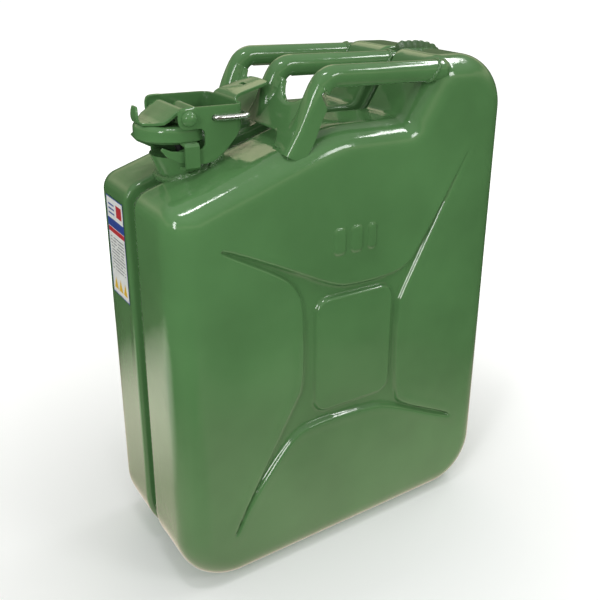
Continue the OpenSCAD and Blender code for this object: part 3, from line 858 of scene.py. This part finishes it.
# (x, z, rounding) of one arm: top edge, nose round the pivot, slot for the strap, claw, lower edge
ARM = [(-132, 434.5, 5), (-140.5, 434.0, 8), (-140.5, 417.6, 8), (-121.5, 417.4, 3.5),
       (-118.4, 414.0, 4), (-118.4, 403.4, 3.5), (-122, 400.7, 1), (-131, 400.6, 0),
       (-137.5, 399.9, 4), (-146.3, 400.9, 6), (-153.6, 404.4, 0.8), (-155.2, 402.6, 0.8),
       (-150.5, 396.8, 4), (-140, 391.2, 6), (-121, 388.3, 10), (-111.5, 389.6, 8),
       (-101, 397.4, 14), (-92.4, 407.0, 14), (-85, 417.0, 6)]
WIRE_Y, WIRE_Z, WIRE_X = 37.4, 425, -110


def lever():
    half = [(U_FLAT, LEVER_TOP, 0)] + [(arm_u(x), z, r) for x, z, r in ARM]
    half += [(arm_u(-88), 415.8, 6), (U_FLAT - 4, 418.6, 5)]
    outer = rounded_loop([(-u, z, r) for u, z, r in half[::-1]] + half)
    turn = np.linspace(0, 2 * math.pi, 16, endpoint=False)
    pin_holes = [np.array([(s * arm_u(WIRE_X) + 2.4 * math.cos(a), WIRE_Z + 2.4 * math.sin(a)) for a in turn])
                 for s in (-1, 1)]
    v2, f2, _ = fill([outer] + pin_holes, 1.8)
    verts = np.array([lever_map(u, z) for u, z in v2])
    for k, (u, z) in enumerate(v2):
        if abs(u) > U_BEND:
            x = verts[k][0]
            boss = 0.9 * float(smooth((8.6 - math.hypot(x - PIVOT[0], z - PIVOT[1])) / 1.8))
            claw_in = 1.2 * float(smooth((-119 - x) / 20.0)) * (1 if z < 408 else 0)
            verts[k][1] += math.copysign(boss, u)
            verts[k][1] -= math.copysign(claw_in, u)
    thicken(piece("cam_lever", verts, f2, "lever", PAINT, ["lever"]), 2.4, 0.0, 0.4)


def thumb_tab():
    """Tongue bent back from the lever's back wall, with a small slot near its end."""
    path = round_path([(-84.2, 429.5), (-84.0, 435.8), (-79.5, 438.6), (-62, 443.6), (-51.5, 446.6)], 4.0, 5)
    path = np.array(resample(path, 1.5))
    s = along_path(path)
    end = s[-1]
    half = [(24, 0, 0), (19, 7, 3), (18, 11, 3), (18, end, 5)]
    loop = rounded_loop([(-24, 0, 0)] + half + [(-y, d, r) for y, d, r in half[:0:-1]])
    slot_from, slot_to = end - 17, end - 13.4
    slot = [(-4, slot_from, 1.2), (5, slot_from, 1.2), (5, slot_to, 1.2), (-4, slot_to, 1.2)]
    v2, f2, _ = fill([loop, rounded_loop(slot, 1.0)], 1.7)
    y, d = v2.T
    crown = 1.2 * (1 - (y / 18) ** 2) * smooth((d - 10) / 8)
    verts = np.stack([np.interp(d, s, path[:, 0]), y, np.interp(d, s, path[:, 1]) + crown], axis=1)
    thicken(piece("lever_thumb_tab", verts, f2, "lever", PAINT), 2.2, 0.0, 0.4)


def safety_wire():
    """Bright wire through both arms, bent back behind the lever."""
    behind = -80.6
    corners = ((WIRE_X, WIRE_Y), (WIRE_X, -WIRE_Y), (behind, -WIRE_Y), (behind, 22))
    path = round_path([(x, y, WIRE_Z) for x, y in corners], 5.0, 8)
    v, f = sweep(resample(path, 2.0), 2.2, seg=20)
    piece("wire_safety_pin", v, f, "safety_pin", ZINC, ["safety_pin"])


pressed_cap()
saddle()
pivot_pin()
lever()
thumb_tab()
safety_wire()


# ---------------------------------------------------------------- carrying handles
# the front plate is laid out flat: y across, v up along the sheet, zero where the legs of the tubes end
PLATE_TOP_W, PLATE_FOOT_W = 80.5, 76.0   # half widths
PLATE_FOOT = -62.0
OPEN_C, OPEN_R, OPEN_V = 35.5, 26.0, 6.5
EDGE_ROLL = 4.5          # how far the sheet curls back along every edge
SIDE_DEEP = 12.5         # depth of the side flanges
LIP_DEEP = 4.5           # depth of the rims turned in round the openings


def plate_w(v):
    return PLATE_TOP_W + (PLATE_TOP_W - PLATE_FOOT_W) * min(v, 0.0) / -PLATE_FOOT


def edge_distances(y, v):
    """Distance from the outer sides and from the two openings; both positive on the sheet."""
    nearest = min(math.hypot(y - c, v - OPEN_V) for c in (-OPEN_C, OPEN_C))
    return plate_w(v) - abs(y), nearest - OPEN_R


def plate_point(y, v):
    """Place in space of a point of the flat plate: folded past its edges, ridged over the tubes' legs."""
    side, opening = edge_distances(y, v)
    folded = 0.0
    yy, vv = y, v
    if opening < 0:
        c = math.copysign(OPEN_C, y)
        k = OPEN_R / max(OPEN_R + opening, 1e-6)
        yy, vv = c + (y - c) * k, OPEN_V + (v - OPEN_V) * k
        folded = opening
    elif side < 0:
        yy = math.copysign(plate_w(v), y)
        folded = side * float(smooth((-5.0 - v) / 10.0))
    ridge = 0.0
    for c in TUBE_Y:
        q = abs(yy - c)
        if q < TUBE_R:
            ridge = math.sqrt(TUBE_R ** 2 - q * q)
    d = min(max(side, 0), max(opening, 0), EDGE_ROLL)
    rolled = math.sqrt(max(EDGE_ROLL ** 2 - (EDGE_ROLL - d) ** 2, 0.0))
    upper = float(smooth((v + 46) / 40))
    n = upper * (ridge - 0.7) + (1 - upper) * rolled + folded
    return LEG_TOP + PLATE_UP * vv + PLATE_FWD * n + UNIT_Y * yy


def plate_edge_points():
    """Mesh points in rows that follow the openings and the sides."""
    points = []
    for d in (0.0, 0.15, 0.6, 1.3, 2.2, 3.4, 4.75, 6.2, 7.85):
        rows = []
        r = OPEN_R + d
        start = math.asin((OPEN_V + 0.5) / r)
        angles = np.linspace(start - math.pi, -start, 30)
        for c in (-OPEN_C, OPEN_C):
            rows += resample([np.array((c + r * math.cos(a), OPEN_V + r * math.sin(a))) for a in angles], 1.6)
        for sgn in (-1, 1):
            rows += [np.array((sgn * (plate_w(v) - d), v)) for v in np.arange(PLATE_FOOT + 0.8, -0.3, 1.6)]
        points += [p for p in rows if abs(min(edge_distances(*p)) - d) < 0.03]
    return points


def handle_plate():
    """Pressed plate in front of the three legs: two U openings, a wide arch at the foot, flanged sides."""
    foot_w, top_w = PLATE_FOOT_W + SIDE_DEEP, PLATE_TOP_W + SIDE_DEEP
    arch_z = PLATE_FOOT + 17
    corners = [(-foot_w, PLATE_FOOT, 0), (-52, PLATE_FOOT, 0), (-50, arch_z, 9), (50, arch_z, 9),
               (52, PLATE_FOOT, 0), (foot_w, PLATE_FOOT, 0), (top_w, 0, 0)]
    rim_r = OPEN_R - LIP_DEEP
    start = math.asin(OPEN_V / rim_r)
    for c in (OPEN_C, -OPEN_C):
        corners += [(c + rim_r * math.cos(a), OPEN_V + rim_r * math.sin(a), 0)
                    for a in np.linspace(-start, start - math.pi, 25)]
    corners += [(-top_w, 0, 0)]
    flat, tris, _ = fill([rounded_loop(corners, 1.5)], 2.0, plate_edge_points())
    verts = np.array([plate_point(y, v) for y, v in flat])
    thicken(piece("handle_front_plate", verts, tris, "can", PAINT, ["handle_plate"]), 1.6, 0.0, 0.3)


def hump_x(z):
    """Where the front slope of the rear hump is at height z."""
    start = sum(ARC_STEPS[k] + STRAIGHT[k] for k in range(HUMP_CORNER))
    stop = start + ARC_STEPS[HUMP_CORNER] + STRAIGHT[HUMP_CORNER] + ARC_STEPS[HUMP_CORNER + 1]
    part = outline(0.0)[start:stop + 1]
    order = np.argsort(part[:, 1])
    return float(np.interp(z, part[order, 1], part[order, 0]))


def tube_centre():
    """Middle line of a carrying tube: leg, bend and the nearly level grip that runs into the hump."""
    leg = math.radians(90 - LEG_LEAN)
    path = [LEG_TOP - PLATE_UP * 3.0, LEG_TOP]
    for k in range(1, 15):
        a = leg * (1 - k / 14)
        path.append(np.array([BEND_X - BEND_R * math.sin(a), 0, TUBE_Z - BEND_R + BEND_R * math.cos(a)]))
    for x in np.arange(BEND_X + 4, 99, 4.0):
        fall = (x - BEND_X) * TUBE_FALL * float(smooth((x - BEND_X) / 20))
        path.append(np.array([x, 0, TUBE_Z - fall]))
    return np.array(path)


def carrying_tube(name, y, cad, seg=36):
    """Tube rolled from sheet; its seam gapes at the back of the leg and closes along the grip."""
    p, _, side, up = frames(tube_centre() + np.array([0, y, 0]), False)
    verts = []
    for i in range(len(p)):
        gap = math.radians(40.0 - 34.0 * float(smooth((i - 10) / 7)))
        lo, hi = gap - math.pi, math.pi - gap
        for j in range(seg + 1):
            t = lo + (hi - lo) * j / seg
            verts.append(p[i] + TUBE_R * (math.cos(t) * up[i] + math.sin(t) * side[i]))
    thicken(piece(name, verts, grid_faces(len(p), seg + 1), "can", PAINT, [cad]), 1.6)


def tube_weld(y):
    """Ring where a tube meets the slope of the hump."""
    centre_z = TUBE_Z - (80 - BEND_X) * TUBE_FALL
    r = TUBE_R - 0.5
    pts = []
    for a in np.linspace(0, 2 * math.pi, 48, endpoint=False):
        z = centre_z + r * math.sin(a)
        pts.append(np.array([hump_x(z) - 0.2, y + r * math.cos(a), z]))
    return pts


def top_surface(x):
    """Height of the shoulder and recess floor at x."""
    ring = outline(0.0)
    part = ring[(ring[:, 0] < 50) & (ring[:, 1] > 350)]
    order = np.argsort(part[:, 0])
    return float(np.interp(x, part[order, 0], part[order, 1]))


def plate_bead(sgn, x=-64.3):
    """Line along one foot of the plate, down over the rounding of the shell."""
    edge = HALF_T - FACE_R
    pts = []
    for y in np.arange(51, 75, 1.5):
        drop = 0.0 if y < edge else FACE_R - math.sqrt(FACE_R ** 2 - (y - edge) ** 2)
        pts.append(np.array([x, sgn * y, top_surface(x) - drop + 0.3]))
    return pts


handle_plate()
TUBES = list(zip(("near", "middle", "far"), TUBE_Y))
for where, y in TUBES:
    carrying_tube(f"{where}_carrying_tube", y, f"{where}_handle")
for k, (where, y) in enumerate(TUBES):
    stands_for = () if k else ["handle_welds"]
    bead(f"{where}_tube_weld", tube_weld(y), 1.9, True, stands_for, seed=21 + k, lump=0.15)
bead("near_plate_weld", plate_bead(-1), 2.3, False, ["plate_weld"], seed=31)
bead("far_plate_weld", plate_bead(1), 2.3, False, seed=33)


# ---------------------------------------------------------------- label with plain generic blocks
LABEL_Y, LABEL_Z = (16.0, 56.0), (256.0, 348.0)
CELL = 0.5               # size of the smallest printed square
INKS = [WHITE, BLUE, RED, GREY, YELLOW]


def label_ink(u, w):
    """Index of the ink, at u from the left edge and w from the lower edge."""
    left, right = 4, 36
    if u < 1.2 or u > 38.8 or w < 1.2 or w > 90.8 or 64 < w < 72:
        return 1
    if 59 < w < 63.6:
        return 2
    if 76 < w < 87 and left < u < 17:
        return 2
    if 76 < w < 87 and 22 < u < right:
        return 1 if w % 4 < 1.6 else 0
    if 22 < w < 56 and left < u < right and w % 3.0 < 0.9:
        row = round(w / 3.0)
        return 3 if noise.noise(Vector((u / 3.0, row * 2.7, 0.4))) > -0.25 else 0
    if 5 < w < 17 and any(abs(u - c) < (17 - w) * 0.42 for c in (8.5, 20, 31.5)):
        return 4
    return 0


def label():
    nu, nv = (int((hi - lo) / CELL) for lo, hi in (LABEL_Y, LABEL_Z))
    verts, faces, inks = [], [], []
    for i in range(nu + 1):
        for j in range(nv + 1):
            y, z = LABEL_Y[0] + i * CELL, LABEL_Z[0] + j * CELL
            verts.append((-HALF_L - 0.4 - 0.12 * noise.noise(Vector((y / 9, z / 9, 2.0))), y, z))
    for i in range(nu):
        for j in range(nv):
            a = i * (nv + 1) + j
            faces.append((a, a + 1, a + nv + 2, a + nv + 1))
            inks.append(label_ink((i + 0.5) * CELL, (j + 0.5) * CELL))
    piece("front_label", verts, faces, "can", INKS, ["label"], indices=inks)


label()


# ---------------------------------------------------------------- stage, light, camera
CARD_AT = (-0.39, 0.24, 0.0)     # bright patch of floor that only the paint mirrors
CARD_POWER = 1.2
SKY_POWER = 0.56


def uneven(nt, coord, value, scale, detail, amount):
    """value plus noise, for soft wandering borders."""
    warp = noise_tex(nt, coord, scale, detail)
    return node(nt, "ShaderNodeMath", warp, amount, value, operation="MULTIPLY_ADD").outputs[0]


def either(nt, switch, no, yes):
    """Shader that is yes where switch is 1, else no."""
    return node(nt, "ShaderNodeMixShader", switch, no, yes).outputs[0]


def vector_op(nt, operation, *sources, **values):
    return node(nt, "ShaderNodeVectorMath", *sources, operation=operation, **values)


def studio_floor():
    """Pale floor; its mirror image in the paint is a warm bench that fades to a dark room."""
    bpy.ops.mesh.primitive_plane_add(size=14, location=(0, 0, -0.0005))
    ob = bpy.context.object
    ob.name = "studio_floor"
    m, nt, bsdf = new_mat("pale_floor")
    co = object_coord(nt)
    dist = vector_op(nt, "LENGTH", co).outputs["Value"]
    bench = ramp(nt, uneven(nt, co, dist, 2.2, 3.0, 0.5),
                 [(0.42, (1.1, 0.92, 0.78)), (0.60, (0.56, 0.46, 0.39)),
                  (0.76, (0.12, 0.10, 0.08)), (1.0, (0.03, 0.03, 0.02))])
    card = ramp(nt, vector_op(nt, "DISTANCE", co, CARD_AT).outputs["Value"],
                [(0.0, (1, 0.97, 0.86)), (0.12, (0.9, 0.86, 0.72)), (0.23, grey(0.0))])
    strong = vector_op(nt, "SCALE", card, Scale=CARD_POWER).outputs[0]
    glow = node(nt, "ShaderNodeEmission", vector_op(nt, "ADD", bench, strong).outputs[0])
    path = node(nt, "ShaderNodeLightPath")
    surface = either(nt, path.outputs["Is Glossy Ray"], bsdf.outputs[0], glow.outputs[0])
    nt.links.new(surface, nt.nodes["Material Output"].inputs["Surface"])
    m.cycles.emission_sampling = "NONE"
    fade = ramp(nt, dist, [(0.16, grey(0.06)), (0.85, grey(0.66))])
    seen = node(nt, "ShaderNodeMath", fade, path.outputs["Is Camera Ray"], operation="MULTIPLY").outputs[0]
    feed(nt, bsdf, Base_Color=(*grey(0.86), 1), Roughness=0.6, Specular_IOR_Level=0.1,
         Emission_Color=(1, 1, 1, 1), Emission_Strength=seen)
    ob.data.materials.append(m)


def studio_world():
    """White to the camera, soft daylight on the paint, a dim room with a pale ceiling in its reflections."""
    world = bpy.data.worlds.new("studio")
    bpy.context.scene.world = world
    world.use_nodes = True
    nt = world.node_tree
    daylight = feed(nt, nt.nodes["Background"], Color=(0.98, 1.0, 0.97, 1), Strength=SKY_POWER)
    co = node(nt, "ShaderNodeTexCoord").outputs["Generated"]
    height = node(nt, "ShaderNodeSeparateXYZ", co).outputs["Z"]
    room = ramp(nt, uneven(nt, co, height, 2.6, 2.0, 0.35),
                [(0.10, (0.05, 0.05, 0.035)), (0.34, (0.16, 0.16, 0.11)), (0.50, (0.80, 0.72, 0.52)),
                 (0.62, (0.20, 0.21, 0.15)), (0.95, (0.55, 0.56, 0.50))])
    dim = node(nt, "ShaderNodeBackground", room)
    white = node(nt, "ShaderNodeBackground", (1, 1, 1, 1), Strength=1.05)
    path = node(nt, "ShaderNodeLightPath")
    lit = either(nt, path.outputs["Is Glossy Ray"], daylight.outputs[0], dim.outputs[0])
    seen = either(nt, path.outputs["Is Camera Ray"], lit, white.outputs[0])
    nt.links.new(seen, nt.nodes["World Output"].inputs["Surface"])


def softbox(name, loc, target, size, power, colour=(1, 1, 1)):
    data = bpy.data.lights.new(name, "AREA")
    data.shape = "RECTANGLE"
    data.size, data.size_y = size
    data.energy = power
    data.color = colour
    ob = bpy.data.objects.new(name, data)
    bpy.context.scene.collection.objects.link(ob)
    ob.location = loc
    ob.rotation_mode = "QUATERNION"
    ob.rotation_quaternion = (Vector(target) - Vector(loc)).to_track_quat("-Z", "Y")


def studio_camera():
    """Camera before the near big face, above it and on the filler's side, with a shifted lens."""
    az, el, roll = (math.radians(a) for a in (-37.225, 20.903, 2.366))
    place = Vector((-377.173, -605.005, 548.863)) * MM
    back = Vector((math.sin(az) * math.cos(el), -math.cos(az) * math.cos(el), math.sin(el)))
    level = Vector((math.cos(az), math.sin(az), 0))
    upright = back.cross(level)
    right = math.cos(roll) * level + math.sin(roll) * upright
    up = math.cos(roll) * upright - math.sin(roll) * level
    data = bpy.data.cameras.new("camera")
    data.sensor_width = 36
    data.lens = 46.62714
    data.shift_x, data.shift_y = -0.1250133, -0.0750250
    data.clip_start = 0.01
    cam = bpy.data.objects.new("camera", data)
    bpy.context.scene.collection.objects.link(cam)
    cam.matrix_world = Matrix.Translation(place) @ Matrix((right, up, back)).transposed().to_4x4()
    bpy.context.scene.camera = cam
    bpy.context.scene.view_settings.view_transform = "Standard"


studio_floor()
studio_world()
softbox("overhead_strip", (-0.30, -0.28, 1.6), (0, 0, 0.35), (0.34, 0.11), 2.8)
softbox("high_strip", (1.2, -0.15, 1.75), (0, 0, 0.45), (1.5, 0.10), 9)
softbox("rear_window", (0.5, 1.5, 1.5), (0, 0, 0.4), (0.9, 0.5), 1.7, (1.0, 0.84, 0.58))
softbox("front_left", (-1.6, -1.0, 1.1), (0, 0, 0.25), (0.35, 0.9), 12)
softbox("front_right", (0.9, -1.9, 1.5), (0, 0, 0.25), (0.6, 0.4), 8)
studio_camera()
